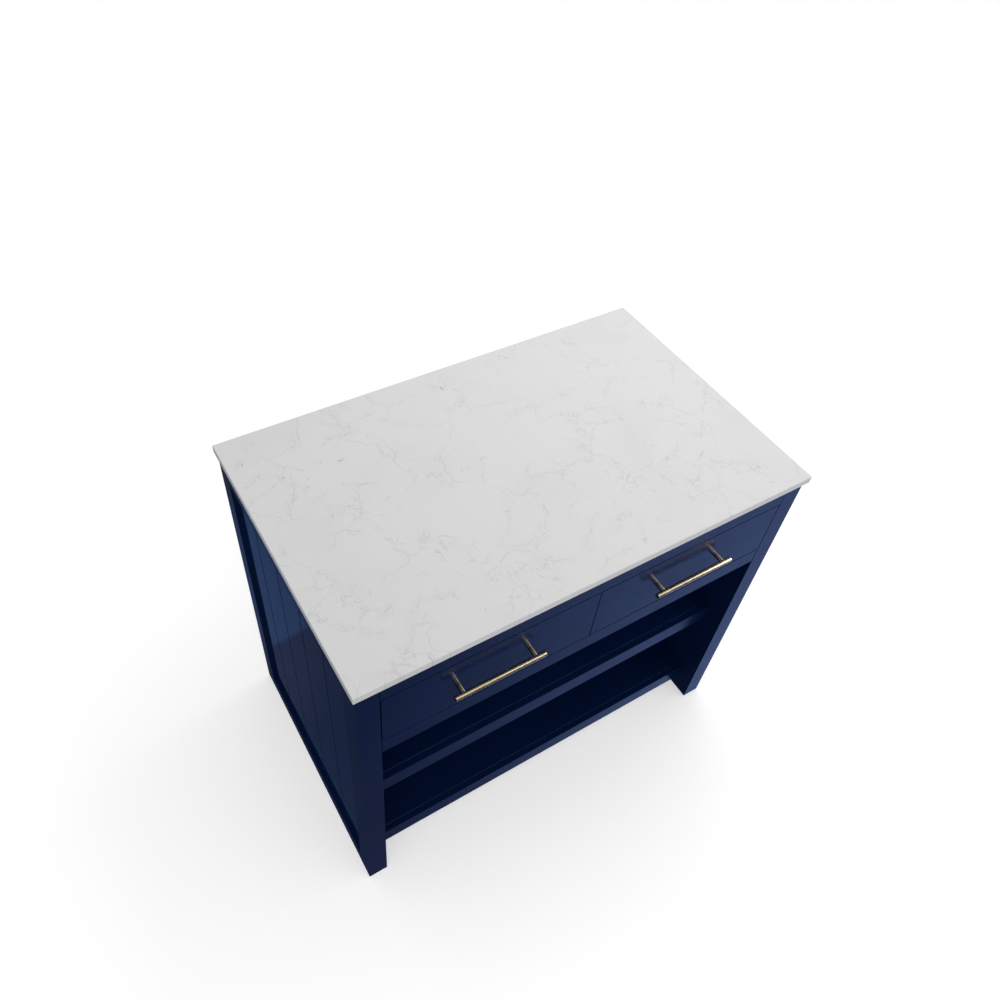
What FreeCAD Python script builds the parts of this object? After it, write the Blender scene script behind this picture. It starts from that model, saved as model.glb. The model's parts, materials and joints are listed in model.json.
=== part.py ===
import FreeCAD, Part
import os

# Kitchen island: a stone top on a painted cabinet with two drawers over two open bays.
# Millimetres. +X is the right-hand side, -Y the drawer side, +Z up, and the floor is z = 0.
# The origin is under the middle of the whole outline, pulls included.

Vec = FreeCAD.Vector

# Stone top
TOP_WIDTH = 1058.0
TOP_DEPTH = 653.0
TOP_THICK = 18.0
TOP_EDGE = 1.2
UNDER_EDGE = 0.4
HEIGHT = 914.0
SIDE_OVERHANG = 5.0
FRONT_OVERHANG = 9.0
BACK_OVERHANG = 9.0

# Cabinet frame: square legs with rails between them
LEG = 47.0
RAIL_THICK = 20.0
RAIL_REVEAL = 1.5
TOP_RAIL_HIGH = 50.0
BASE_RAIL_TOP = 50.0
GLIDE_HIGH = 3.0
GLIDE_RADIUS = 11.0
NAIL_RADIUS = 1.25
NAIL_LONG = 15.0

# Grooved panels, set back inside the side frames and the back frame
PANEL_THICK = 12.0
PANEL_RECESS = 8.0
LINER_THICK = 12.0
SIDE_PLANKS = 5
BACK_PLANKS = 9
GROOVE_WIDE = 4.0
GROOVE_DEEP = 2.5

# Drawer openings
OPENING_TOP = 846.0
OPENING_BOTTOM = 689.0
LOWER_RAIL_BOTTOM = 645.0
DIVIDER_THICK = 18.0
DECK_THICK = 12.0
DECK_TOP = 681.0

# Shelves: a panel behind a thin front rail that stands a little lower than the panel
SHELF_THICK = 18.0
SHELF_RECESS = 45.0
SHELF_RAIL_THICK = 14.0
SHELF_RAIL_HIGH = 50.0
SHELF_STEP = 5.0
MIDDLE_SHELF_TOP = 406.0
BOTTOM_SHELF_TOP = 102.0
CLEAT = 18.0

# Corner blocks under the top
BLOCK_LEG = 70.0
BLOCK_THICK = 22.0
BLOCK_SCREW_IN = 36.0
BLOCK_SCREW_GRIP = 15.0

# Drawers
DRAWER_GAP = 2.5
FRONT_THICK = 18.0
BOX_WALL = 12.0
BOX_LONG = 500.0
BOX_HIGH = 120.0
BOX_BOTTOM_Z = 700.0
BOTTOM_THICK = 6.0
BOTTOM_UP = 10.0
BOTTOM_GROOVE = 6.0

# Bar pulls
PULL_LONG = 200.0
PULL_SPACING = 160.0
PULL_BAR_RADIUS = 6.0
PULL_RIM = 0.6
PULL_POST_RADIUS = 5.0
PULL_AXIS_OUT = 25.0
PULL_TAP_DEEP = 12.0
PULL_SCREW_RADIUS = 2.0
PULL_SCREW_LONG = 40.0

# Three-member drawer slides, measured from the wall they are screwed to
SLIDE_THICK = 12.7
SLIDE_LONG = 500.0
SLIDE_MIDDLE_LONG = 470.0
SLIDE_SETBACK = 21.5
SLIDE_GAUGE = 1.2
CABINET_MEMBER = {"web_x": 0.0, "edge_x": 6.0, "half_high": 22.5}
MIDDLE_MEMBER = {"web_x": 3.4, "edge_x": 11.0, "half_high": 18.0}
DRAWER_MEMBER = {"web_x": SLIDE_THICK - SLIDE_GAUGE, "edge_x": 6.7, "half_high": 13.5}
SLIDE_SCREWS_AT = (35.0, 230.0, 440.0)

# Wood screws
SCREW_RADIUS = 1.9
SCREW_HEAD_RADIUS = 3.6
SCREW_HEAD_HIGH = 1.6
HOLE_SLACK = 0.1
CLEAT_SCREW_LONG = 28.0
SLIDE_SCREW_LONG = 9.0
BLOCK_SCREW_LONG = 32.0
FRONT_SCREW_LONG = 26.0
FRONT_SCREW_INSET = 40.0
FRONT_SCREW_DOWN = 20.0
CLEAT_SCREWS_AT = (0.12, 0.5, 0.88)

# Places worked out from the driving dimensions
PULL_REACH = PULL_AXIS_OUT + PULL_BAR_RADIUS
CABINET_TOP = HEIGHT - TOP_THICK
FACE_Y = (PULL_REACH + FRONT_OVERHANG - TOP_DEPTH) / 2
BACK_Y = FACE_Y - FRONT_OVERHANG + TOP_DEPTH - BACK_OVERHANG
SIDE_X = TOP_WIDTH / 2 - SIDE_OVERHANG
INNER_X = SIDE_X - LEG
RAIL_BACK_Y = FACE_Y + RAIL_THICK
BACK_PANEL_Y = BACK_Y - PANEL_RECESS - PANEL_THICK
SIDE_FRONT_Y = FACE_Y + LEG
SIDE_BACK_Y = BACK_Y - LEG
DECK_BOTTOM = DECK_TOP - DECK_THICK
BAY_X = DIVIDER_THICK / 2
SHELF_FRONT_Y = FACE_Y + SHELF_RECESS
SHELF_PANEL_Y = SHELF_FRONT_Y + SHELF_RAIL_THICK
FRONT_BACK_Y = FACE_Y + FRONT_THICK
FRONT_WIDE = (2 * INNER_X - 3 * DRAWER_GAP) / 2
FRONT_X = DRAWER_GAP / 2
FRONT_BOTTOM = OPENING_BOTTOM + DRAWER_GAP
FRONT_TOP = OPENING_TOP - DRAWER_GAP
PULL_X = FRONT_X + FRONT_WIDE / 2
PULL_Z = (FRONT_BOTTOM + FRONT_TOP) / 2
BOX_X0 = BAY_X + SLIDE_THICK
BOX_X1 = INNER_X - SLIDE_THICK
BOX_END_Y = FRONT_BACK_Y + BOX_LONG
BOX_TOP = BOX_BOTTOM_Z + BOX_HIGH
SLIDE_Y = FACE_Y + SLIDE_SETBACK
SLIDE_Z = BOX_BOTTOM_Z + BOX_HIGH / 2


def block(x, y, z):
    """A box from three (low, high) pairs."""
    size = [high - low for low, high in (x, y, z)]
    return Part.makeBox(*size, Vec(x[0], y[0], z[0]))


def rod(radius, long, start, way):
    return Part.makeCylinder(radius, long, Vec(*start), Vec(*way))


def mirrored(shape):
    return shape.mirror(Vec(0, 0, 0), Vec(1, 0, 0))


def on_side(shape, side):
    """Shapes are drawn for the right-hand side; the left-hand one is the mirror image."""
    return shape if side == "right" else mirrored(shape)


def screw(seat, way, long, radius=SCREW_RADIUS):
    """A screw whose head rests on the seat and whose shank runs along way."""
    head_way = [-part for part in way]
    shank = rod(radius, long, seat, way)
    head = rod(SCREW_HEAD_RADIUS, SCREW_HEAD_HIGH, seat, head_way)
    return shank.fuse(head).removeSplitter()


def screw_hole(seat, way, long, radius=SCREW_RADIUS):
    return rod(radius + HOLE_SLACK, long + HOLE_SLACK, seat, way)


def drilled(shape, screws):
    """The shape with a hole for every screw: (seat, way, length), and a radius if it is not the usual."""
    for one in screws:
        shape = shape.cut(screw_hole(*one))
    return shape


def both_sides(screws):
    """The same screws again, mirrored to the left-hand side."""
    flipped = [((-seat[0], *seat[1:]), (-way[0], *way[1:]), long) for seat, way, long in screws]
    return screws + flipped


def edges_at(shape, z):
    """The level edges of a shape at one height."""
    return [
        edge
        for edge in shape.Edges
        if abs(edge.BoundBox.ZMin - z) < 0.01 and abs(edge.BoundBox.ZMax - z) < 0.01
    ]


def make_stone_top():
    front = FACE_Y - FRONT_OVERHANG
    slab = block((-TOP_WIDTH / 2, TOP_WIDTH / 2), (front, front + TOP_DEPTH), (CABINET_TOP, HEIGHT))
    upright = [edge for edge in slab.Edges if edge.BoundBox.ZLength > TOP_THICK / 2]
    slab = slab.makeChamfer(TOP_EDGE, upright)
    slab = slab.makeChamfer(TOP_EDGE, edges_at(slab, HEIGHT))
    return slab.makeChamfer(UNDER_EDGE, edges_at(slab, CABINET_TOP))


def leg_centres():
    xs = (INNER_X + LEG / 2, -INNER_X - LEG / 2)
    ys = (FACE_Y + LEG / 2, BACK_Y - LEG / 2)
    return [(x, y) for x in xs for y in ys]


def make_leg(side, front):
    y = (FACE_Y, SIDE_FRONT_Y) if front else (SIDE_BACK_Y, BACK_Y)
    leg = block((INNER_X, SIDE_X), y, (GLIDE_HIGH, CABINET_TOP))
    nail_hole = (INNER_X + LEG / 2, (y[0] + y[1]) / 2, GLIDE_HIGH)
    leg = leg.cut(rod(NAIL_RADIUS + HOLE_SLACK, NAIL_LONG + HOLE_SLACK, nail_hole, (0, 0, 1)))
    return on_side(leg, side)


def make_glides():
    glides = []
    for x, y in leg_centres():
        disc = rod(GLIDE_RADIUS, GLIDE_HIGH, (x, y, 0), (0, 0, 1))
        nail = rod(NAIL_RADIUS, NAIL_LONG, (x, y, GLIDE_HIGH), (0, 0, 1))
        glides.append(disc.fuse(nail).removeSplitter())
    return Part.makeCompound(glides)


def block_screws():
    """Screws of the two right-hand corner blocks: one into a cross rail, one into a side rail."""
    z = CABINET_TOP - BLOCK_THICK / 2
    screws = []
    for corner_y, inward in ((RAIL_BACK_Y, 1), (BACK_PANEL_Y, -1)):
        to_rail = (INNER_X - BLOCK_SCREW_IN, corner_y + inward * BLOCK_SCREW_GRIP, z)
        to_side = (INNER_X - BLOCK_SCREW_GRIP, corner_y + inward * BLOCK_SCREW_IN, z)
        screws.append((to_rail, (0, -inward, 0), BLOCK_SCREW_LONG))
        screws.append((to_side, (1, 0, 0), BLOCK_SCREW_LONG))
    return both_sides(screws)


def make_corner_blocks():
    blocks = []
    for corner_y, inward in ((RAIL_BACK_Y, 1), (BACK_PANEL_Y, -1)):
        z = CABINET_TOP - BLOCK_THICK
        corner = Vec(INNER_X, corner_y, z)
        points = [corner, corner + Vec(-BLOCK_LEG, 0, 0), corner + Vec(0, inward * BLOCK_LEG, 0), corner]
        solid = Part.Face(Part.makePolygon(points)).extrude(Vec(0, 0, BLOCK_THICK))
        blocks += [solid, mirrored(solid)]
    corner_blocks = Part.makeCompound(blocks)
    for seat, way, long in block_screws():
        head_way = [-part for part in way]
        corner_blocks = corner_blocks.cut(rod(SCREW_HEAD_RADIUS + HOLE_SLACK, BLOCK_LEG, seat, head_way))
    return drilled(corner_blocks, block_screws())


def make_face_rail(z_low, z_high):
    """A rail between the front legs, with a narrow reveal at the front of each joint with a leg."""
    rail = block((-INNER_X, INNER_X), (FACE_Y, RAIL_BACK_Y), (z_low, z_high))
    reveal_x = (INNER_X - RAIL_REVEAL, INNER_X)
    reveal = block(reveal_x, (FACE_Y, FACE_Y + RAIL_REVEAL), (z_low, z_high))
    rail = rail.cut(reveal).cut(mirrored(reveal))
    return drilled(rail, block_screws())


def make_side_rail(side, z_low, z_high):
    rail = block((INNER_X, SIDE_X), (SIDE_FRONT_Y, SIDE_BACK_Y), (z_low, z_high))
    return on_side(drilled(rail, block_screws()), side)


def groove_along_z(x, y, out):
    """A vertical V cutter whose open side faces along out, a unit vector in the floor plane."""
    half = GROOVE_WIDE / 2
    across = Vec(-out[1], out[0], 0)
    mouth = Vec(x, y, 0)
    floor = mouth - Vec(*out, 0) * GROOVE_DEEP
    low = [mouth + across * half, mouth - across * half, floor, mouth + across * half]
    return Part.Face(Part.makePolygon(low)).extrude(Vec(0, 0, HEIGHT))


def joints_between(start, end, planks):
    """Places where equal planks laid from start to end meet."""
    return [start + (end - start) * number / planks for number in range(1, planks)]


def make_side_panel(side):
    outer_x = SIDE_X - PANEL_RECESS
    z = (BASE_RAIL_TOP, OPENING_TOP)
    panel = block((outer_x - PANEL_THICK, outer_x), (SIDE_FRONT_Y, SIDE_BACK_Y), z)
    for y in joints_between(SIDE_FRONT_Y, SIDE_BACK_Y, SIDE_PLANKS):
        panel = panel.cut(groove_along_z(outer_x, y, (1, 0)))
    return on_side(panel, side)


def make_side_liner(side):
    x = (INNER_X, INNER_X + LINER_THICK)
    liner = block(x, (SIDE_FRONT_Y, SIDE_BACK_Y), (BASE_RAIL_TOP, OPENING_TOP))
    return on_side(drilled(liner, wall_screws() + liner_slide_screws()), side)


def make_back_rail(z_low, z_high):
    rail = block((-INNER_X, INNER_X), (BACK_PANEL_Y, BACK_Y), (z_low, z_high))
    return drilled(rail, block_screws())


def make_back_panel():
    outer_y = BACK_PANEL_Y + PANEL_THICK
    panel = block((-INNER_X, INNER_X), (BACK_PANEL_Y, outer_y), (BASE_RAIL_TOP, OPENING_TOP))
    for x in joints_between(-INNER_X, INNER_X, BACK_PLANKS):
        panel = panel.cut(groove_along_z(x, outer_y, (0, 1)))
    return panel


def make_divider():
    divider = block((-BAY_X, BAY_X), (RAIL_BACK_Y, BACK_PANEL_Y), (DECK_TOP, CABINET_TOP))
    return drilled(divider, both_sides(divider_slide_screws()))


def make_deck():
    return block((-INNER_X, INNER_X), (RAIL_BACK_Y, BACK_PANEL_Y), (DECK_BOTTOM, DECK_TOP))


def make_shelf_panel(top):
    return block((-INNER_X, INNER_X), (SHELF_PANEL_Y, BACK_PANEL_Y), (top - SHELF_THICK, top))


def make_shelf_rail(top):
    rail_top = top - SHELF_STEP
    return block((-INNER_X, INNER_X), (SHELF_FRONT_Y, SHELF_PANEL_Y), (rail_top - SHELF_RAIL_HIGH, rail_top))


def cleat_rows():
    """Front end and underside height of the board that each pair of cleats carries."""
    return {
        "deck": (SIDE_FRONT_Y, DECK_BOTTOM),
        "middle": (SHELF_PANEL_Y, MIDDLE_SHELF_TOP - SHELF_THICK),
        "bottom": (SHELF_PANEL_Y, BOTTOM_SHELF_TOP - SHELF_THICK),
    }


def cleat_screws(row):
    front, under = cleat_rows()[row]
    screws = []
    for share in CLEAT_SCREWS_AT:
        y = front + share * (SIDE_BACK_Y - front)
        screws.append(((INNER_X - CLEAT, y, under - CLEAT / 2), (1, 0, 0), CLEAT_SCREW_LONG))
    return screws


def wall_screws():
    return [one for row in cleat_rows() for one in cleat_screws(row)]


def make_cleats(row):
    front, under = cleat_rows()[row]
    cleat = block((INNER_X - CLEAT, INNER_X), (front, SIDE_BACK_Y), (under - CLEAT, under))
    cleat = drilled(cleat, cleat_screws(row))
    return Part.makeCompound([cleat, mirrored(cleat)])


def slide_screws(wall_x, way_x, seat_offset):
    """Three screws along one slide member whose web lies at seat_offset from the wall."""
    seat_x = wall_x - way_x * seat_offset
    return [((seat_x, SLIDE_Y + at, SLIDE_Z), (way_x, 0, 0), SLIDE_SCREW_LONG) for at in SLIDE_SCREWS_AT]


def liner_slide_screws():
    return slide_screws(INNER_X, 1, SLIDE_GAUGE)


def divider_slide_screws():
    return slide_screws(BAY_X, -1, SLIDE_GAUGE)


def cabinet_slide_screws():
    return liner_slide_screws() + divider_slide_screws()


def box_slide_screws():
    outer = slide_screws(BOX_X1, -1, SLIDE_GAUGE)
    inner = slide_screws(BOX_X0, 1, SLIDE_GAUGE)
    return outer + inner


def make_screws(screws):
    return Part.makeCompound([screw(*one) for one in screws])


def slide_member(member, long):
    """A C-shaped strip whose web is nearer the wall, or nearer the drawer if edge_x is less."""
    web = sorted((member["web_x"], member["web_x"] + SLIDE_GAUGE))
    reach = (min(web[0], member["edge_x"]), max(web[1], member["edge_x"]))
    half = member["half_high"]
    y = (SLIDE_Y, SLIDE_Y + long)
    solid = block(reach, y, (SLIDE_Z - half, SLIDE_Z + half))
    hollow = (web[1], reach[1]) if member["edge_x"] > web[0] else (reach[0], web[0])
    inside = half - SLIDE_GAUGE
    return solid.cut(block(hollow, y, (SLIDE_Z - inside, SLIDE_Z + inside)))


def make_slides(side, member, long, screws):
    """The members on both sides of one drawer: one beside the liner, one beside the divider."""
    strip = slide_member(member, long)
    beside_divider = strip.translated(Vec(BAY_X, 0, 0))
    beside_liner = mirrored(strip).translated(Vec(INNER_X, 0, 0))
    pair = Part.makeCompound([beside_divider, beside_liner])
    return on_side(drilled(pair, screws), side)


def pull_post_xs():
    return (PULL_X - PULL_SPACING / 2, PULL_X + PULL_SPACING / 2)


def pull_screws():
    y = FRONT_BACK_Y + BOX_WALL
    return [((x, y, PULL_Z), (0, -1, 0), PULL_SCREW_LONG, PULL_SCREW_RADIUS) for x in pull_post_xs()]


def front_screws():
    y = FRONT_BACK_Y + BOX_WALL
    xs = (BOX_X0 + FRONT_SCREW_INSET, BOX_X1 - FRONT_SCREW_INSET)
    zs = (BOX_BOTTOM_Z + FRONT_SCREW_INSET, BOX_TOP - FRONT_SCREW_DOWN)
    return [((x, y, z), (0, -1, 0), FRONT_SCREW_LONG) for x in xs for z in zs]


def make_drawer_front(side):
    x = (FRONT_X, FRONT_X + FRONT_WIDE)
    front = block(x, (FACE_Y, FRONT_BACK_Y), (FRONT_BOTTOM, FRONT_TOP))
    return on_side(drilled(front, pull_screws() + front_screws()), side)


def bottom_panel():
    x = (BOX_X0 + BOX_WALL - BOTTOM_GROOVE, BOX_X1 - BOX_WALL + BOTTOM_GROOVE)
    y = (FRONT_BACK_Y + BOX_WALL - BOTTOM_GROOVE, BOX_END_Y - BOX_WALL + BOTTOM_GROOVE)
    z_low = BOX_BOTTOM_Z + BOTTOM_UP
    return block(x, y, (z_low, z_low + BOTTOM_THICK))


def make_box_wall(side, wall):
    """One wall of the drawer box, grooved for the bottom panel and drilled for its screws."""
    ends = (FRONT_BACK_Y, BOX_END_Y)
    between = (BOX_X0 + BOX_WALL, BOX_X1 - BOX_WALL)
    z = (BOX_BOTTOM_Z, BOX_TOP)
    if wall == "inner":
        board = block((BOX_X0, BOX_X0 + BOX_WALL), ends, z)
    elif wall == "outer":
        board = block((BOX_X1 - BOX_WALL, BOX_X1), ends, z)
    elif wall == "front":
        board = block(between, (ends[0], ends[0] + BOX_WALL), z)
    else:
        board = block(between, (ends[1] - BOX_WALL, ends[1]), z)
    screws = box_slide_screws() + pull_screws() + front_screws()
    return on_side(drilled(board.cut(bottom_panel()), screws), side)


def pull_rod():
    """The bar before its rims are taken off; the posts are hollowed to it too."""
    start = (PULL_X - PULL_LONG / 2, FACE_Y - PULL_AXIS_OUT, PULL_Z)
    return rod(PULL_BAR_RADIUS, PULL_LONG, start, (1, 0, 0))


def make_pull_bar(side):
    bar = pull_rod()
    rims = [edge for edge in bar.Edges if len(edge.Vertexes) == 1]
    return on_side(bar.makeChamfer(PULL_RIM, rims), side)


def make_pull_posts(side):
    """Two posts, hollowed at one end to seat the bar and tapped at the other."""
    posts = []
    for x in pull_post_xs():
        post = rod(PULL_POST_RADIUS, PULL_AXIS_OUT, (x, FACE_Y, PULL_Z), (0, -1, 0))
        tap = rod(PULL_SCREW_RADIUS + HOLE_SLACK, PULL_TAP_DEEP, (x, FACE_Y, PULL_Z), (0, -1, 0))
        posts.append(post.cut(pull_rod()).cut(tap))
    return on_side(Part.makeCompound(posts), side)


def save(node, shape):
    shape.exportStep(f"parts/{node}.step")


def save_carcass():
    save("stone_top", make_stone_top())
    save("face_rail_top", make_face_rail(OPENING_TOP, CABINET_TOP))
    save("face_rail_lower", make_face_rail(LOWER_RAIL_BOTTOM, OPENING_BOTTOM))
    save("back_rail_top", make_back_rail(OPENING_TOP, CABINET_TOP))
    save("back_rail_base", make_back_rail(GLIDE_HIGH, BASE_RAIL_TOP))
    save("back_panel", make_back_panel())
    save("drawer_divider", make_divider())
    save("drawer_deck", make_deck())
    save("corner_blocks", make_corner_blocks())
    save("leg_glides", make_glides())
    for shelf, top in (("middle", MIDDLE_SHELF_TOP), ("bottom", BOTTOM_SHELF_TOP)):
        save(f"shelf_{shelf}_panel", make_shelf_panel(top))
        save(f"shelf_{shelf}_front_rail", make_shelf_rail(top))
        save(f"shelf_{shelf}_cleats", make_cleats(shelf))
    save("drawer_deck_cleats", make_cleats("deck"))
    save("carcass_screws", make_screws(both_sides(wall_screws()) + block_screws()))
    save("slide_screws_cabinet", make_screws(both_sides(cabinet_slide_screws())))


def save_side(side):
    save(f"leg_front_{side}", make_leg(side, front=True))
    save(f"leg_rear_{side}", make_leg(side, front=False))
    save(f"side_rail_top_{side}", make_side_rail(side, OPENING_TOP, CABINET_TOP))
    save(f"side_rail_base_{side}", make_side_rail(side, GLIDE_HIGH, BASE_RAIL_TOP))
    save(f"side_panel_{side}", make_side_panel(side))
    save(f"side_liner_{side}", make_side_liner(side))
    save(f"slides_cabinet_{side}", make_slides(side, CABINET_MEMBER, SLIDE_LONG, cabinet_slide_screws()))
    save(f"slides_middle_{side}", make_slides(side, MIDDLE_MEMBER, SLIDE_MIDDLE_LONG, []))
    save(f"slides_drawer_{side}", make_slides(side, DRAWER_MEMBER, SLIDE_LONG, box_slide_screws()))


def save_drawer(side):
    save(f"drawer_{side}_front", make_drawer_front(side))
    for wall in ("inner", "outer", "front", "back"):
        save(f"drawer_{side}_box_{wall}", make_box_wall(side, wall))
    save(f"drawer_{side}_box_bottom", on_side(bottom_panel(), side))
    save(f"pull_{side}_bar", make_pull_bar(side))
    save(f"pull_{side}_posts", make_pull_posts(side))
    save(f"pull_{side}_screws", on_side(make_screws(pull_screws()), side))
    box_screws = make_screws(front_screws() + box_slide_screws())
    save(f"drawer_{side}_screws", on_side(box_screws, side))


os.makedirs("parts", exist_ok=True)
save_carcass()
for side_name in ("left", "right"):
    save_side(side_name)
    save_drawer(side_name)
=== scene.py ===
"""Looks of the kitchen island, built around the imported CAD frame. Metres, +Z up, drawers face -Y."""

import json
import math

import bmesh
import bpy
from mathutils import Matrix, Vector

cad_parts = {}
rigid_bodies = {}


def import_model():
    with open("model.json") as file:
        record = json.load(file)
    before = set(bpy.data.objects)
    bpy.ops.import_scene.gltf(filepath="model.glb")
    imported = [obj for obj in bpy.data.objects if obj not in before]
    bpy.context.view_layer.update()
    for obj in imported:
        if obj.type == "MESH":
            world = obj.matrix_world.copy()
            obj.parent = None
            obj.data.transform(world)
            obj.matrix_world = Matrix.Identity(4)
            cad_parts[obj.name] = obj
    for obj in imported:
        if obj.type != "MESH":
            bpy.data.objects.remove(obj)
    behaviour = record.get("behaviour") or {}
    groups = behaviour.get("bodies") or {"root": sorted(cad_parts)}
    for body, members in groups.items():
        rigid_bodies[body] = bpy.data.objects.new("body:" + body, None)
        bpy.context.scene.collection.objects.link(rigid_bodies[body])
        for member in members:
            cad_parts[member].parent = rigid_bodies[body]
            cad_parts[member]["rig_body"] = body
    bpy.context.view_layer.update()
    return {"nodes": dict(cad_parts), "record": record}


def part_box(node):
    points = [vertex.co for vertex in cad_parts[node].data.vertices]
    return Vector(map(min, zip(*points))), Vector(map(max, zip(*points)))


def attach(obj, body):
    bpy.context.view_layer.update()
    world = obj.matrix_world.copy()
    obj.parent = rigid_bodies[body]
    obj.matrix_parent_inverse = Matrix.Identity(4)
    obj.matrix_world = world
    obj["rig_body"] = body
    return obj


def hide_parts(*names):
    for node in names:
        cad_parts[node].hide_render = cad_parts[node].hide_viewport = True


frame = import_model()
NODES = frame["nodes"]
SIDES = ("left", "right")
SLOT_OF = {row["node"]: row["material_slot"] for row in frame["record"]["subparts"]}

# Camera, at the photograph's viewing angle
CAMERA_PLACE = (-0.7691, -0.9491, 2.1754)
CAMERA_TURN = (41.159, -3.780, -31.183)
CAMERA_LENS = 30.700
CAMERA_SHIFT = (0.0207, 0.0014)

# Linear colours
QUARTZ_WHITE = (0.670, 0.672, 0.668)
QUARTZ_CLOUD = (0.612, 0.614, 0.616)
QUARTZ_VEIN = (0.262, 0.262, 0.276)
NAVY = (0.0020, 0.0108, 0.051)
NAVY_DEEP = (0.0017, 0.0092, 0.044)
BRASS = (0.80, 0.66, 0.44)
BRASS_DARK = (0.70, 0.55, 0.34)
FLOOR = (0.74, 0.74, 0.74)

# Largest rounding of edges, in metres, by material slot
EDGE_ROUND = {
    "quartz": 0.0003,
    "navy_paint": 0.0007,
    "birch_box": 0.0008,
    "ply_bottom": 0.0004,
    "bare_wood": 0.0008,
}
SHELF_ROUND = 0.0022
SHELF_BOARDS = ("shelf_middle_panel", "shelf_bottom_panel")
ROUNDED_ANGLE = math.radians(40)
SHARP_ANGLE = math.radians(35)

# Corners nearer to each other than this are one corner
WELD = 0.00001

# Pulls and screws, in metres
PULL_RIM = 0.0006
BAR_SIDES = 96
POST_SIDES = 72
SCREW_SIDES = 20
HEAD_HIGH = 0.0016
THREAD_PITCH = 0.0012

# Balls of the drawer slides
SLIDE_GAUGE = 0.0012
BALL_GAP = 0.0033
BALL_RADIUS = 0.0015
BALL_PITCH = 0.012
BALLS_PER_ROW = 8
OUTER_BALL_OFF = 0.0027
INNER_BALL_OFF = 0.0014
CAGE_HALF_WIDE = 0.0016
CAGE_HALF_THICK = 0.0003

# Studio, in metres and watts
FLOOR_RADIUS = 14.0
FLOOR_SIDES = 96
KEY_PLACE = (0.8, 0.2, 2.6)
KEY_AIM = (0.8, 0.2, 0.0)
KEY_SIZE = 1.0
KEY_POWER = 13.2

# Marks of the stone top as (x, y) in metres, seen from above. Their rough places were read from
# the photographed top and listed; noise in quartz() bends and breaks them.
CLEAR_VEINS = (
    ((-0.515, -0.133), (-0.480, -0.185), (-0.430, -0.235), (-0.402, -0.288)),
    ((-0.405, -0.250), (-0.365, -0.220), (-0.335, -0.195), (-0.285, -0.215)),
    ((-0.415, -0.200), (-0.390, -0.185), (-0.385, -0.165)),
    ((-0.399, 0.029), (-0.380, 0.000), (-0.368, -0.008)),
    ((-0.435, 0.187), (-0.432, 0.155), (-0.448, 0.110), (-0.460, 0.070)),
    ((-0.475, 0.208), (-0.435, 0.187)),
    ((-0.395, 0.046), (-0.388, 0.065), (-0.380, 0.080)),
    ((-0.355, 0.060), (-0.335, 0.037)),
    ((-0.295, 0.300), (-0.273, 0.273), (-0.258, 0.263)),
    ((-0.338, 0.235), (-0.310, 0.255), (-0.255, 0.250)),
    ((-0.360, 0.195), (-0.312, 0.183)),
    ((-0.507, 0.255), (-0.490, 0.283), (-0.465, 0.305)),
    ((-0.190, 0.245), (-0.150, 0.215), (-0.105, 0.195)),
    ((-0.048, 0.216), (-0.015, 0.217), (0.010, 0.240)),
    ((-0.050, 0.295), (-0.025, 0.275), (-0.005, 0.302)),
    ((-0.012, -0.048), (-0.028, -0.065), (-0.022, -0.120), (-0.055, -0.170), (-0.105, -0.215)),
    ((-0.072, -0.058), (-0.100, -0.108)),
    ((-0.010, -0.045), (0.040, -0.050), (0.075, -0.065)),
    ((-0.100, -0.210), (-0.090, -0.248), (-0.108, -0.300)),
    ((-0.080, -0.225), (-0.078, -0.240), (-0.050, -0.248)),
    ((-0.008, -0.250), (0.040, -0.195), (0.090, -0.175)),
    ((0.075, -0.230), (0.105, -0.210), (0.128, -0.228), (0.105, -0.285)),
    ((0.127, -0.055), (0.142, -0.060), (0.175, -0.005)),
    ((0.280, -0.005), (0.262, -0.045), (0.285, -0.085)),
    ((0.255, -0.138), (0.310, -0.130), (0.370, -0.102), (0.415, -0.110)),
    ((0.305, -0.200), (0.345, -0.175), (0.372, -0.150)),
    ((0.060, 0.132), (0.098, 0.147), (0.140, 0.135)),
    ((0.200, 0.128), (0.230, 0.135)),
    ((0.290, 0.090), (0.313, 0.120), (0.345, 0.140)),
    ((0.262, 0.020), (0.275, 0.012)),
    ((0.400, -0.208), (0.435, -0.245)),
    ((0.485, 0.095), (0.515, 0.115)),
)
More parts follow.
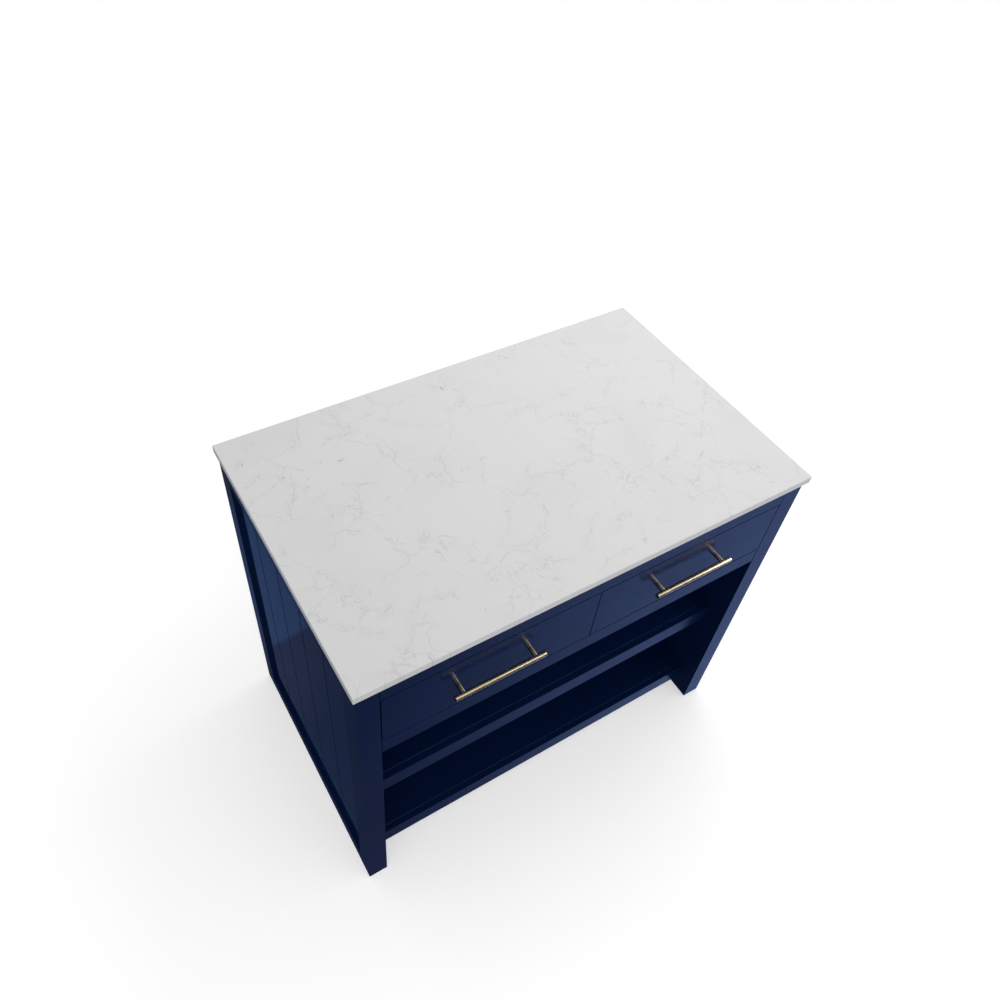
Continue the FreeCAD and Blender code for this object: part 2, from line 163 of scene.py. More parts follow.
FAINT_VEINS = (
    ((-0.510, 0.195), (-0.475, 0.208), (-0.400, 0.170), (-0.385, 0.110)),
    ((-0.365, 0.215), (-0.335, 0.240)),
    ((-0.248, 0.240), (-0.215, 0.180), (-0.210, 0.135), (-0.170, 0.100)),
    ((-0.240, 0.275), (-0.160, 0.285), (-0.080, 0.280)),
    ((-0.335, 0.120), (-0.290, 0.090)),
    ((-0.300, 0.042), (-0.265, 0.045)),
    ((-0.205, 0.100), (-0.185, 0.060), (-0.150, 0.080), (-0.125, 0.095), (-0.060, 0.090)),
    ((-0.145, 0.045), (-0.090, 0.040)),
    ((-0.500, -0.040), (-0.465, -0.055), (-0.462, -0.100)),
    ((-0.345, -0.010), (-0.320, -0.045), (-0.290, -0.090)),
    ((-0.275, -0.062), (-0.255, -0.120), (-0.245, -0.190), (-0.205, -0.212), (-0.140, -0.185)),
    ((-0.235, -0.080), (-0.202, -0.120), (-0.210, -0.200)),
    ((-0.245, -0.240), (-0.255, -0.300)),
    ((-0.200, -0.260), (-0.135, -0.300)),
    ((-0.095, -0.005), (-0.070, -0.050)),
    ((0.140, -0.085), (0.155, -0.108), (0.200, -0.105)),
    ((0.175, -0.145), (0.200, -0.120), (0.215, -0.175), (0.200, -0.190)),
    ((0.310, -0.015), (0.370, -0.042), (0.398, -0.098)),
    ((0.405, -0.100), (0.455, -0.065), (0.500, -0.010), (0.500, 0.050)),
    ((0.370, -0.210), (0.395, -0.180), (0.390, -0.155)),
    ((0.430, -0.238), (0.470, -0.238)),
    ((0.220, -0.275), (0.300, -0.268)),
    ((0.360, 0.123), (0.385, 0.106), (0.415, 0.100)),
    ((0.150, 0.080), (0.170, 0.057), (0.230, 0.067), (0.280, 0.055), (0.268, 0.028)),
    ((0.380, 0.175), (0.405, 0.195)),
    ((0.065, 0.250), (0.068, 0.205)),
    ((0.110, 0.270), (0.150, 0.280)),
    ((0.030, 0.125), (0.060, 0.132)),
)
CRACKLED_PATCHES = (
    ((-0.395, 0.125), (-0.370, 0.060)),
    ((-0.305, 0.315), (-0.245, 0.315)),
    ((-0.455, -0.130), (-0.360, -0.115)),
    ((-0.430, -0.170), (-0.390, -0.190)),
    ((-0.270, -0.070), (-0.200, -0.130)),
    ((-0.200, -0.240), (-0.090, -0.230)),
    ((0.170, -0.120), (0.215, -0.160)),
    ((0.170, 0.005), (0.180, 0.075)),
    ((0.240, 0.060), (0.270, 0.010)),
    ((0.260, -0.160), (0.300, -0.260)),
    ((0.375, -0.190), (0.430, -0.240)),
    ((0.350, 0.020), (0.400, 0.010)),
)
DARK_FLECKS = (
    ((-0.506, 0.254), (-0.500, 0.262)),
    ((-0.437, 0.190), (-0.434, 0.182)),
    ((-0.325, 0.183), (-0.317, 0.183)),
    ((-0.397, 0.045), (-0.392, 0.052)),
    ((-0.386, 0.071), (-0.383, 0.076)),
    ((-0.061, 0.090), (-0.057, 0.090)),
    ((-0.028, 0.284), (-0.026, 0.272)),
    ((-0.191, 0.073), (-0.190, 0.068)),
    ((0.178, 0.079), (0.184, 0.074)),
    ((0.262, 0.020), (0.273, 0.010)),
    ((0.354, 0.013), (0.355, 0.009)),
    ((0.322, -0.256), (0.323, -0.259)),
    ((0.437, -0.283), (0.445, -0.290)),
    ((0.280, -0.137), (0.284, -0.138)),
    ((-0.191, -0.124), (-0.189, -0.128)),
    ((-0.091, -0.245), (-0.088, -0.250)),
    ((-0.098, -0.263), (-0.097, -0.268)),
    ((-0.385, -0.300), (-0.379, -0.313)),
    ((-0.236, -0.137), (-0.234, -0.139)),
)


def add_node(tree, kind, inputs, settings):
    """Adds a shader node. An input is a socket to link from, or a constant."""
    made = tree.nodes.new("ShaderNode" + kind)
    for key, value in settings.items():
        setattr(made, key, value)
    for key, value in inputs.items():
        if isinstance(value, bpy.types.NodeSocket):
            tree.links.new(value, made.inputs[key])
        else:
            made.inputs[key].default_value = value
    return made


def with_alpha(colours):
    return [(*one, 1.0) if isinstance(one, tuple) else one for one in colours]


class Surface:
    """A Principled material, with short calls for the nodes that feed it."""

    def __init__(self, name, **constants):
        self.material = bpy.data.materials.new(name)
        self.material.use_nodes = True
        self.tree = self.material.node_tree
        self.shader = self.tree.nodes["Principled BSDF"]
        for socket, value in constants.items():
            self.shader.inputs[socket.replace("_", " ")].default_value = value
        self.place = self.node("TexCoord", {}).outputs["Object"]

    def node(self, kind, inputs, **settings):
        return add_node(self.tree, kind, inputs, settings)

    def maths(self, operation, *values):
        return self.node("Math", dict(enumerate(values)), operation=operation).outputs[0]

    def times(self, first, second):
        return self.maths("MULTIPLY", first, second)

    def stretched(self, scale):
        return self.node("Mapping", {"Vector": self.place, "Scale": scale}).outputs[0]

    def noise(self, scale, detail=3.0, roughness=0.5, place=None, output="Fac"):
        vector = self.place if place is None else place
        inputs = {"Vector": vector, "Scale": scale, "Detail": detail, "Roughness": roughness}
        return self.node("TexNoise", inputs).outputs[output]

    def warped(self, scale, amount, detail, place):
        """The place pushed about by a noise of the given scale, by up to half of amount."""
        push = self.noise(scale, detail, place=place, output="Color")
        centred = self.node("VectorMath", {0: push, 1: (0.5, 0.5, 0.5)}, operation="SUBTRACT")
        scaled = self.node("VectorMath", {0: centred.outputs[0], "Scale": amount}, operation="SCALE")
        return self.vector("ADD", place, scaled.outputs[0])

    def ranged(self, value, low, high, to_low=0.0, to_high=1.0):
        """A smooth step of value from low to high, going from to_low to to_high."""
        inputs = {"Value": value, "From Min": low, "From Max": high, "To Min": to_low, "To Max": to_high}
        return self.node("MapRange", inputs, interpolation_type="SMOOTHSTEP").outputs["Result"]

    def cracks(self, scale, width, place):
        """1 on the borders of irregular cells, falling to 0 at width from them."""
        voronoi = self.node("TexVoronoi", {"Vector": place, "Scale": scale}, feature="DISTANCE_TO_EDGE")
        return self.ranged(voronoi.outputs["Distance"], 0.0, width * scale, 1.0, 0.0)

    def away_from(self, place, paths):
        """Distance, seen from above, from place to the nearest of some paths of straight stretches."""
        nearest = None
        for path in paths:
            for start, end in zip(path, path[1:]):
                start = Vector((*start, 0.0))
                stretch = Vector((*end, 0.0)) - start
                offset = self.vector("SUBTRACT", place, start)
                per_long = stretch / stretch.length_squared
                along = self.vector("DOT_PRODUCT", offset, per_long, output="Value")
                along = self.node("Clamp", {"Value": along}).outputs[0]
                foot = self.node("VectorMath", {0: stretch, "Scale": along}, operation="SCALE").outputs[0]
                far = self.vector("DISTANCE", offset, foot, output="Value")
                nearest = far if nearest is None else self.maths("MINIMUM", nearest, far)
        return nearest

    def vector(self, operation, first, second, output="Vector"):
        return self.node("VectorMath", {0: first, 1: second}, operation=operation).outputs[output]

    def blend(self, factor, low, high):
        low, high = with_alpha((low, high))
        return self.node("Mix", {0: factor, 6: low, 7: high}, data_type="RGBA").outputs[2]

    def colour(self, socket):
        self.tree.links.new(socket, self.shader.inputs["Base Color"])

    def rough(self, socket):
        self.tree.links.new(socket, self.shader.inputs["Roughness"])

    def relief(self, height, distance, strength):
        bump = self.node("Bump", {"Height": height, "Distance": distance, "Strength": strength})
        self.tree.links.new(bump.outputs[0], self.shader.inputs["Normal"])


def quartz():
    """White quartz: cloudy ground, wandering broken veins, crackled patches and a few dark flecks."""
    s = Surface("quartz", IOR=1.18)
    flat = s.vector("MULTIPLY", s.place, (1.0, 1.0, 0.0))
    bent = s.warped(15.0, 0.036, 1.0, place=flat)
    bent = s.warped(60.0, 0.007, 2.0, place=bent)
    to_clear = s.away_from(bent, CLEAR_VEINS)
    to_faint = s.away_from(bent, FAINT_VEINS)
    to_patch = s.away_from(bent, CRACKLED_PATCHES)
    to_fleck = s.away_from(bent, DARK_FLECKS)
    broken = s.ranged(s.noise(36.0, 3.0, 0.6, place=flat), 0.38, 0.60, 0.50, 1.0)
    clear = s.times(s.ranged(to_clear, 0.0002, 0.0017, 1.0, 0.0), s.times(broken, 0.42))
    faint = s.times(s.ranged(to_faint, 0.0, 0.0022, 1.0, 0.0), s.times(broken, 0.30))
    fleck = s.ranged(to_fleck, 0.0004, 0.0022, 0.70, 0.0)
    wide_bent = s.warped(9.0, 0.09, 3.0, place=bent)
    present = s.ranged(s.noise(7.0, 2.0, 0.5, place=flat), 0.42, 0.56)
    network = s.times(s.cracks(9.0, 0.0018, wide_bent), s.times(broken, 0.22))
    network = s.times(network, present)
    to_network = s.cracks(9.0, 0.012, wide_bent)
    crackle = s.cracks(62.0, 0.0012, s.warped(64.0, 0.018, 2.0, place=flat))
    by_vein = s.ranged(s.maths("MINIMUM", to_clear, to_faint), 0.003, 0.014, 1.0, 0.0)
    by_patch = s.ranged(to_patch, 0.010, 0.036, 1.0, 0.0)
    by_network = s.times(to_network, s.times(present, 0.7))
    nearby = s.maths("MAXIMUM", s.maths("MAXIMUM", by_patch, by_vein), by_network)
    patchy = s.ranged(s.noise(30.0, 3.0, 0.65, place=flat), 0.46, 0.60)
    fine = s.times(crackle, s.times(patchy, s.times(nearby, 0.33)))
    veins = s.maths("MAXIMUM", s.maths("MAXIMUM", clear, faint), s.maths("MAXIMUM", fine, network))
    veins = s.maths("MAXIMUM", veins, fleck)
    veins = s.times(veins, s.ranged(s.noise(140.0, 3.0, 0.7), 0.35, 0.65, 0.65, 1.10))
    cloud = s.ranged(s.noise(5.5, 4.0, 0.6, place=bent), 0.45, 0.70, 0.0, 0.35)
    halo = s.ranged(s.maths("MINIMUM", to_clear, to_patch), 0.0, 0.020, 0.50, 0.0)
    halo = s.times(halo, s.ranged(s.noise(50.0, 3.0, 0.6), 0.40, 0.62, 0.15, 1.0))
    ground = s.blend(s.maths("MAXIMUM", cloud, halo), QUARTZ_WHITE, QUARTZ_CLOUD)
    grain = s.ranged(s.noise(1400.0, 2.0), 0.35, 0.65, 0.0, 0.05)
    ground = s.blend(grain, ground, QUARTZ_CLOUD)
    s.colour(s.blend(veins, ground, QUARTZ_VEIN))
    s.rough(s.ranged(s.noise(60.0, 3.0), 0.3, 0.7, 0.16, 0.22))
    s.relief(s.noise(420.0, 2.0), 0.00003, 0.5)
    return s.material


def navy_paint(name, smooth, dull):
    """Sprayed navy lacquer: slight drift of tone, and a faint orange-peel relief."""
    s = Surface(name, IOR=1.22)
    drift = s.noise(3.2, 4.0, 0.55)
    s.colour(s.blend(s.ranged(drift, 0.35, 0.65), NAVY, NAVY_DEEP))
    s.rough(s.ranged(s.noise(24.0, 4.0, 0.6), 0.3, 0.7, smooth, dull))
    peel = s.noise(260.0, 2.0, 0.4)
    s.relief(peel, 0.00003, 0.25)
    return s.material


def satin_brass(name, along, smooth, dull):
    """Brushed brass: fine lines along the part's turning direction and a soft drift of tone."""
    s = Surface(name, Metallic=1.0, IOR=1.5)
    lines = s.noise(1.0, 3.0, 0.6, place=s.stretched(along))
    drift = s.noise(30.0, 3.0)
    s.colour(s.blend(s.ranged(drift, 0.3, 0.7, 0.0, 0.6), BRASS, BRASS_DARK))
    s.rough(s.ranged(lines, 0.3, 0.7, smooth, dull))
    s.relief(lines, 0.00003, 0.5)
    return s.material


def wood(name, grain, layer=None, pale=(0.66, 0.50, 0.32), dark=(0.50, 0.34, 0.19), rough=0.48):
    """Clear-finished wood. grain is the axis it runs along; plywood's layers lie across the layer axis."""
    s = Surface(name, IOR=1.45)
    stretch = [1.0, 1.0, 1.0]
    stretch["xyz".index(grain)] = 0.06
    long = s.stretched(stretch)
    bent = s.warped(3.0, 0.05, 2.0, place=long)
    wave_inputs = {"Vector": bent, "Scale": 26.0, "Distortion": 3.0, "Detail": 3.0, "Detail Scale": 1.6}
    wave = s.node("TexWave", wave_inputs, bands_direction="DIAGONAL", wave_profile="SAW")
    fibre = s.noise(420.0, 3.0, 0.7, place=long)
    tone = s.maths("MULTIPLY_ADD", wave.outputs["Fac"], 0.35, s.times(fibre, 0.65))
    tone = s.maths("MULTIPLY_ADD", s.noise(4.0, 2.0), 0.5, s.maths("SUBTRACT", tone, 0.25))
    colour = s.blend(s.ranged(tone, 0.15, 0.95), pale, dark)
    if layer:
        axis = "xyz".index(layer)
        parts = s.node("SeparateXYZ", {0: s.place}).outputs
        stripes = s.maths("PINGPONG", parts[axis], 0.0015)
        stripes = s.ranged(stripes, 0.0006, 0.0009)
        edge_grain = s.noise(300.0, 2.0, 0.6)
        mixed = s.maths("MULTIPLY_ADD", stripes, 0.75, s.times(edge_grain, 0.25))
        edge = s.blend(mixed, (0.60, 0.44, 0.27), (0.30, 0.19, 0.10))
        normal = s.node("SeparateXYZ", {0: s.node("NewGeometry", {}).outputs["Normal"]}).outputs[2]
        upward = s.ranged(s.maths("ABSOLUTE", normal), 0.6, 0.8)
        colour = s.blend(upward, colour, edge)
    s.colour(colour)
    s.rough(s.ranged(fibre, 0.3, 0.7, rough - 0.06, rough + 0.08))
    s.relief(fibre, 0.00008, 0.5)
    return s.material


def zinc_steel():
    s = Surface("zinc_steel", Metallic=1.0, IOR=1.5)
    streaks = s.noise(1.0, 3.0, 0.6, place=s.stretched((900.0, 14.0, 900.0)))
    mottle = s.noise(70.0, 4.0, 0.6)
    s.colour(s.blend(s.ranged(mottle, 0.3, 0.7), (0.58, 0.60, 0.62), (0.44, 0.46, 0.49)))
    s.rough(s.ranged(streaks, 0.3, 0.7, 0.26, 0.42))
    s.relief(streaks, 0.00003, 0.5)
    return s.material


def nylon():
    s = Surface("nylon", IOR=1.5)
    speckle = s.noise(900.0, 2.0)
    s.colour(s.blend(speckle, (0.020, 0.020, 0.021), (0.034, 0.034, 0.036)))
    s.rough(s.ranged(speckle, 0.3, 0.7, 0.45, 0.60))
    s.relief(speckle, 0.00006, 0.5)
    return s.material


def floor_finish():
    s = Surface("studio_floor", IOR=1.4)
    s.shader.inputs["Specular IOR Level"].default_value = 0.2
    drift = s.noise(1.3, 3.0)
    s.colour(s.blend(s.ranged(drift, 0.3, 0.7), FLOOR, tuple(0.985 * part for part in FLOOR)))
    s.rough(s.ranged(s.noise(300.0), 0.3, 0.7, 0.6, 0.7))
    s.shader.inputs["Emission Color"].default_value = (1.0, 1.0, 1.0, 1.0)
    s.shader.inputs["Emission Strength"].default_value = 0.45
    return s.material


MADE = {
    "quartz": quartz(),
    "navy_paint": navy_paint("navy_paint", 0.19, 0.25),
    "navy_panel": navy_paint("navy_panel", 0.02, 0.035),
    "brass_bar": satin_brass("brass_bar", (8.0, 1400.0, 1400.0), 0.20, 0.31),
    "brass_post": satin_brass("brass_post", (1400.0, 12.0, 1400.0), 0.07, 0.11),
    "birch_side": wood("birch_side", "y", layer="x"),
    "birch_end": wood("birch_end", "x", layer="y"),
    "ply_bottom": wood("ply_bottom", "x", pale=(0.62, 0.47, 0.30), dark=(0.47, 0.32, 0.18)),
    "bare_wood": wood("bare_wood", "x", pale=(0.62, 0.46, 0.27), dark=(0.44, 0.28, 0.13), rough=0.62),
    "zinc_steel": zinc_steel(),
    "nylon": nylon(),
}


def look_of(node, slot):
    if node.startswith("side_panel"):
        return MADE["navy_panel"]
    if slot == "satin_brass":
        return MADE["brass_bar"] if node.endswith("bar") else MADE["brass_post"]
    if slot == "birch_box":
        return MADE["birch_end"] if node.endswith(("front", "back")) else MADE["birch_side"]
    return MADE[slot]


def put_on(piece, material):
    piece.data.materials.clear()
    piece.data.materials.append(material)


def join_corners(piece):
    """The CAD mesh has separate corners for each face. Joined, its edges can be rounded."""
    weld = piece.modifiers.new("join_corners", "WELD")
    weld.merge_threshold = WELD


def flatten_faces(piece):
    """Keeps the large faces flat next to their rounded edges."""
    normals = piece.modifiers.new("flat_faces", "WEIGHTED_NORMAL")
    normals.mode = "FACE_AREA_WITH_ANGLE"
    normals.weight = 100
    normals.keep_sharp = True


def soften_edges(piece, width):
    bevel = piece.modifiers.new("soft_edges", "BEVEL")
    bevel.width = width
    bevel.segments = 2
    bevel.limit_method = "ANGLE"
    bevel.angle_limit = ROUNDED_ANGLE
    bevel.use_clamp_overlap = True


def round_front_edge(piece, width):
    """Rounds the upper front edge of a shelf board more than the rest, where it stands above its rail."""
    corners = piece.data.vertices
    front = min(corner.co.y for corner in corners)
    top = max(corner.co.z for corner in corners)
    group = piece.vertex_groups.new(name="front_edge")
    on_edge = [corner.index for corner in corners if corner.co.y < front + WELD and corner.co.z > top - WELD]
    group.add(on_edge, 1.0, "ADD")
    bevel = piece.modifiers.new("front_edge", "BEVEL")
    bevel.width = width
    bevel.segments = 4
    bevel.limit_method = "VGROUP"
    bevel.vertex_group = group.name


def dress_cad_nodes():
    for node, slot in SLOT_OF.items():
        piece = NODES[node]
        put_on(piece, look_of(node, slot))
        if slot in EDGE_ROUND:
            join_corners(piece)
            if node in SHELF_BOARDS:
                round_front_edge(piece, SHELF_ROUND)
            soften_edges(piece, EDGE_ROUND[slot])
            flatten_faces(piece)


def new_piece(name, node, shape, replaces=True):
    """A detailed piece made from a bmesh, on the body and slot of a CAD node, and usually in its place."""
    mesh = bpy.data.meshes.new(name)
    shape.to_mesh(mesh)
    shape.free()
    mesh.shade_smooth()
    mesh.set_sharp_from_angle(angle=SHARP_ANGLE)
    piece = bpy.data.objects.new(name, mesh)
    bpy.context.scene.collection.objects.link(piece)
    slot = SLOT_OF[node]
    put_on(piece, look_of(node, slot))
    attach(piece, NODES[node]["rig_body"])
    if replaces:
        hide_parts(node)
    return piece


def turn(shape, profile, place, segments):
    """Adds a solid turned about X, from (distance along X, radius) pairs. Returns its rings of corners."""
    rings = []
    for along, radius in profile:
        angles = [math.tau * step / segments for step in range(segments if radius else 1)]
        spots = [(along, radius * math.cos(angle), radius * math.sin(angle)) for angle in angles]
        rings.append([shape.verts.new(place @ Vector(spot)) for spot in spots])
    for low, high in zip(rings, rings[1:]):
        for step in range(segments):
            after = (step + 1) % segments
            four = [low[step % len(low)], low[after % len(low)]]
            four += [high[after % len(high)], high[step % len(high)]]
            shape.faces.new(list(dict.fromkeys(four)))
    return rings


def rounded_rod(long, radius, rim, steps=6):
    """Profile of a rod along X whose two ends have a rounded rim and a shallow centre dimple."""
    arc = [math.pi / 2 * step / steps for step in range(steps + 1)]
    start = [(rim - rim * math.cos(angle), radius - rim + rim * math.sin(angle)) for angle in arc]
    start = [(rim / 2, 0.0), (rim / 4, 0.12 * radius), (0.0, 0.2 * radius), *start]
    return start + [(long - along, out) for along, out in reversed(start)]


def toward(axis, sign, origin):
    """Places a solid drawn along +X so that it starts at origin and runs along an axis."""
    way = Vector((0.0, 0.0, 0.0))
    way[axis] = sign
    return Matrix.Translation(origin) @ way.to_track_quat("X", "Z").to_matrix().to_4x4()


def make_pulls():
    for side in SIDES:
        low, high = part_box(f"pull_{side}_bar")
        radius = (high.z - low.z) / 2
        centre = (low + high) / 2
        shape = bmesh.new()
        place = toward(0, 1, (low.x, centre.y, centre.z))
        turn(shape, rounded_rod(high.x - low.x, radius, PULL_RIM), place, BAR_SIDES)
        new_piece(f"bar_{side}", f"pull_{side}_bar", shape)
        low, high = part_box(f"pull_{side}_posts")
        radius = (high.z - low.z) / 2
        shape = bmesh.new()
        for x in (low.x + radius, high.x - radius):
            place = toward(1, -1, (x, high.y, (low.z + high.z) / 2))
            turn(shape, rounded_rod(high.y - low.y, radius, PULL_RIM / 3), place, POST_SIDES)
        new_piece(f"posts_{side}", f"pull_{side}_posts", shape)


def solids_of(node):
    """The corners of each separate solid of a CAD node."""
    shape = bmesh.new()
    shape.from_mesh(NODES[node].data)
    bmesh.ops.remove_doubles(shape, verts=shape.verts, dist=WELD)
    waiting = set(shape.verts)
    solids = []
    while waiting:
        reached = {waiting.pop()}
        edge_of_reach = list(reached)
        while edge_of_reach:
            corner = edge_of_reach.pop()
            near = {link.other_vert(corner) for link in corner.link_edges} - reached
            reached |= near
            edge_of_reach += near
        waiting -= reached
        solids.append([corner.co.copy() for corner in reached])
    shape.free()
    return solids


def corners_box(corners):
    low = Vector([min(corner[axis] for corner in corners) for axis in range(3)])
    high = Vector([max(corner[axis] for corner in corners) for axis in range(3)])
    return low, high


def read_screw(corners):
    """Where a CAD screw's head starts and which way it points, with its length and radii."""
    low, high = corners_box(corners)
    size = high - low
    axis = max(range(3), key=lambda one: size[one])
    centre = (low + high) / 2
    across = [one for one in range(3) if one != axis]

    def radius_at(end):
        close = [corner for corner in corners if abs(corner[axis] - end) < WELD]
        return max(math.hypot(*(corner[one] - centre[one] for one in across)) for corner in close)

    at_low, at_high = radius_at(low[axis]), radius_at(high[axis])
    sign = 1 if at_low > at_high else -1
    start = centre.copy()
    start[axis] = low[axis] if sign > 0 else high[axis]
    return toward(axis, sign, start), size[axis], max(at_low, at_high), min(at_low, at_high)


def add_screw(shape, corners, pointed):
    """A pan-head screw: domed head with a cross recess, plain neck, threads, and a point or a blunt end."""
    place, long, head, shank = read_screw(corners)
    flat = 0.70 * head
    dome = [math.radians(angle) for angle in (15, 35, 55, 75)]
    profile = [(0.0, flat)]
    for angle in dome:
        out = flat + (head - flat) * math.sin(angle)
        profile.append((HEAD_HIGH * 0.7 * (1 - math.cos(angle)), out))
    profile += [(0.75 * HEAD_HIGH, head), (HEAD_HIGH, head), (HEAD_HIGH, shank)]
    thread_start = HEAD_HIGH + 0.3 * (long - HEAD_HIGH)
    point = 2.2 * shank if pointed else 0.4 * shank
    turns = int((long - point - thread_start) / THREAD_PITCH)
    for number in range(turns):
        along = thread_start + number * THREAD_PITCH
        profile += [(along, 0.8 * shank), (along + THREAD_PITCH / 2, shank)]
    profile += [(long - point, 0.8 * shank), (long, 0.0 if pointed else 0.6 * shank)]
    if not pointed:
        profile.append((long, 0.0))
    rim = turn(shape, profile, place, SCREW_SIDES)[0]
    arm, half = 0.52 * head, 0.13 * head
    quarter = [(half, arm), (half, half), (arm, half)]
    cross = []
    for turned in range(4):
        angle = -math.pi / 2 * turned
        cosine, sine = math.cos(angle), math.sin(angle)
        cross += [(y * cosine - z * sine, y * sine + z * cosine) for y, z in quarter]
    mouth = [shape.verts.new(place @ Vector((0.0, y, z))) for y, z in cross]
    floor = [shape.verts.new(place @ Vector((0.65 * HEAD_HIGH, 0.8 * y, 0.8 * z))) for y, z in cross]
    edges = []
    for loop in (rim, mouth):
        for one, two in zip(loop, loop[1:] + loop[:1]):
            edges.append(shape.edges.get((one, two)) or shape.edges.new((one, two)))
    bmesh.ops.triangle_fill(shape, edges=edges, use_beauty=True)
    for number in range(len(cross)):
        after = (number + 1) % len(cross)
        shape.faces.new((mouth[number], mouth[after], floor[after], floor[number]))
    shape.faces.new(floor)


def make_screws():
    for node in [one for one in NODES if "screws" in one]:
        shape = bmesh.new()
        for corners in solids_of(node):
            add_screw(shape, corners, pointed=not node.startswith("pull"))
        bmesh.ops.recalc_face_normals(shape, faces=shape.faces)
        new_piece(f"{node}_detail", node, shape)


def add_box(shape, low, high):
    centre, size = (low + high) / 2, high - low
    place = Matrix.Translation(centre) @ Matrix.Diagonal((*size, 1.0))
    bmesh.ops.create_cube(shape, size=1.0, matrix=place)


def add_ball_row(shape, first):
    """A row of balls going backward from the first, held in a thin pressed cage."""
    for number in range(BALLS_PER_ROW):
        spot = Matrix.Translation(first + Vector((0.0, number * BALL_PITCH, 0.0)))
        bmesh.ops.create_icosphere(shape, subdivisions=3, radius=BALL_RADIUS, matrix=spot)
    margin = Vector((CAGE_HALF_WIDE, BALL_PITCH / 2, CAGE_HALF_THICK))
    last = first + Vector((0.0, (BALLS_PER_ROW - 1) * BALL_PITCH, 0.0))
    add_box(shape, first - margin, last + margin)


def make_slide_balls():
    """Balls above and below both faces of each middle slide member, outer at its rear, inner in front."""
    row_long = BALLS_PER_ROW * BALL_PITCH
    for side in SIDES:
        node = f"slides_middle_{side}"
        shape = bmesh.new()
        boxes = [corners_box(corners) for corners in solids_of(node)]
        bay_middle = sum((low.x + high.x) / 2 for low, high in boxes) / len(boxes)
        for low, high in boxes:
            centre = (low + high) / 2
            inward = 1 if centre.x < bay_middle else -1
            half = (high.z - low.z) / 2
            for up in (1, -1):
                outer = Vector((centre.x - inward * OUTER_BALL_OFF, high.y - row_long, 0.0))
                outer.z = centre.z + up * (half + BALL_GAP / 2)
                add_ball_row(shape, outer)
                inner = Vector((centre.x + inward * INNER_BALL_OFF, low.y + BALL_PITCH, 0.0))
                inner.z = centre.z + up * (half - SLIDE_GAUGE - BALL_GAP / 2)
                add_ball_row(shape, inner)
        new_piece(f"slide_balls_{side}", node, shape, replaces=False)


def make_floor():
    mesh = bpy.data.meshes.new("floor")
    shape = bmesh.new()
    bmesh.ops.create_circle(shape, cap_ends=True, segments=FLOOR_SIDES, radius=FLOOR_RADIUS)
    shape.to_mesh(mesh)
    shape.free()
    floor = bpy.data.objects.new("studio_floor", mesh)
    bpy.context.scene.collection.objects.link(floor)
    put_on(floor, floor_finish())
    floor.visible_glossy = False
    floor.visible_diffuse = False


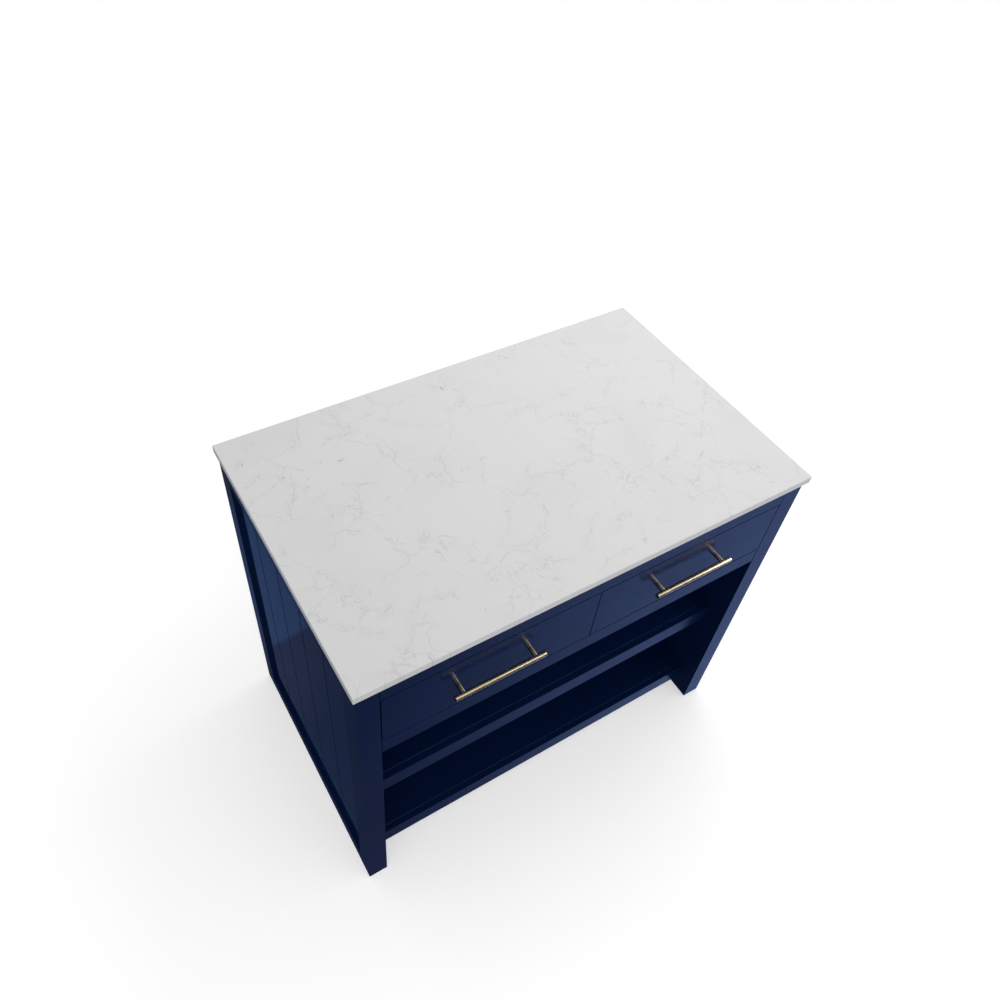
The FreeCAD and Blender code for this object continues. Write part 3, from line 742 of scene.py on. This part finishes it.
def make_world():
    """A soft white studio. What the gloss reflects is set apart from what lights the surfaces."""
    world = bpy.data.worlds.new("studio")
    bpy.context.scene.world = world
    world.use_nodes = True
    world.cycles.sampling_method = "NONE"
    tree = world.node_tree

    def node(kind, inputs, **settings):
        return add_node(tree, kind, inputs, settings)

    def ramp(value, low, high):
        inputs = {"Value": value, "From Min": low, "From Max": high}
        return node("MapRange", inputs, interpolation_type="SMOOTHSTEP").outputs["Result"]

    def mixed(factor, low, high):
        low, high = with_alpha((low, high))
        return node("Mix", {0: factor, 6: low, 7: high}, data_type="RGBA").outputs[2]

    def multiplied(first, *others):
        for other in others:
            first = node("Math", {0: first, 1: other}, operation="MULTIPLY").outputs[0]
        return first

    way = node("SeparateXYZ", {0: node("TexCoord", {}).outputs["Generated"]}).outputs
    x, y, z = way[0], way[1], way[2]

    # What the gloss shows
    front_glow = mixed(ramp(x, 0.13, 0.60), (0.080, 0.078, 0.130), (0.345, 0.480, 0.980))
    side_glow = mixed(ramp(y, 0.42, 0.51), (0.027, 0.038, 0.084), (0.042, 0.053, 0.105))
    side_glow = mixed(ramp(y, 0.524, 0.530), side_glow, (0.055, 0.095, 0.215))
    side_glow = mixed(ramp(y, 0.650, 0.665), side_glow, (0.045, 0.055, 0.080))
    steep = mixed(ramp(x, -0.10, 0.10), side_glow, front_glow)
    shallow = (0.078, 0.076, 0.074)
    steep = mixed(ramp(y, -0.56, -0.44), shallow, steep)
    below = mixed(ramp(z, -0.62, -0.50), steep, shallow)
    lamp = mixed(ramp(x, 0.2, 0.6), (0.86, 0.87, 0.88), (1.62, 1.69, 1.80))
    slanted = node("Math", {0: x, 1: 0.5, 2: y}, operation="MULTIPLY_ADD").outputs[0]
    overhead = mixed(ramp(slanted, -0.22, 0.00), lamp, (0.03, 0.03, 0.035))
    overhead = mixed(ramp(z, 0.34, 0.60), (0.11, 0.11, 0.11), overhead)
    gloss = mixed(ramp(z, -0.10, 0.12), below, overhead)
    beside = multiplied(ramp(x, 0.64, 0.74), ramp(y, -0.10, -0.22), ramp(z, -0.06, 0.06))
    gloss = mixed(beside, gloss, (7.50, 7.20, 7.00))

    # What lights the surfaces: white overhead, dimmer near the floor, a little more from the front
    soft = mixed(ramp(z, -0.30, 0.60), (0.27, 0.28, 0.29), (0.66, 0.66, 0.66))
    front = mixed(ramp(z, -0.30, 0.60), (0.62, 0.62, 0.62), (1.14, 1.14, 1.14))
    soft = mixed(ramp(y, 0.20, -0.90), soft, front)

    path = node("LightPath", {}).outputs
    light = mixed(path["Is Glossy Ray"], soft, gloss)
    light = mixed(path["Is Camera Ray"], light, (0.95, 0.95, 0.95))
    tree.links.new(light, tree.nodes["Background"].inputs["Color"])


def make_key_light():
    lamp = bpy.data.lights.new("key", "AREA")
    lamp.shape = "SQUARE"
    lamp.size = KEY_SIZE
    lamp.energy = KEY_POWER
    key = bpy.data.objects.new("key", lamp)
    key.location = KEY_PLACE
    key.rotation_euler = (Vector(KEY_AIM) - Vector(KEY_PLACE)).to_track_quat("-Z", "Y").to_euler()
    key.visible_camera = False
    key.visible_glossy = False
    bpy.context.scene.collection.objects.link(key)


def make_camera():
    lens = bpy.data.cameras.new("camera")
    lens.lens = CAMERA_LENS
    lens.shift_x, lens.shift_y = CAMERA_SHIFT
    camera = bpy.data.objects.new("camera", lens)
    camera.location = CAMERA_PLACE
    camera.rotation_euler = [math.radians(angle) for angle in CAMERA_TURN]
    bpy.context.scene.collection.objects.link(camera)
    bpy.context.scene.camera = camera


bpy.context.scene.view_settings.view_transform = "Standard"
dress_cad_nodes()
make_pulls()
make_screws()
make_slide_balls()
make_floor()
make_world()
make_key_light()
make_camera()
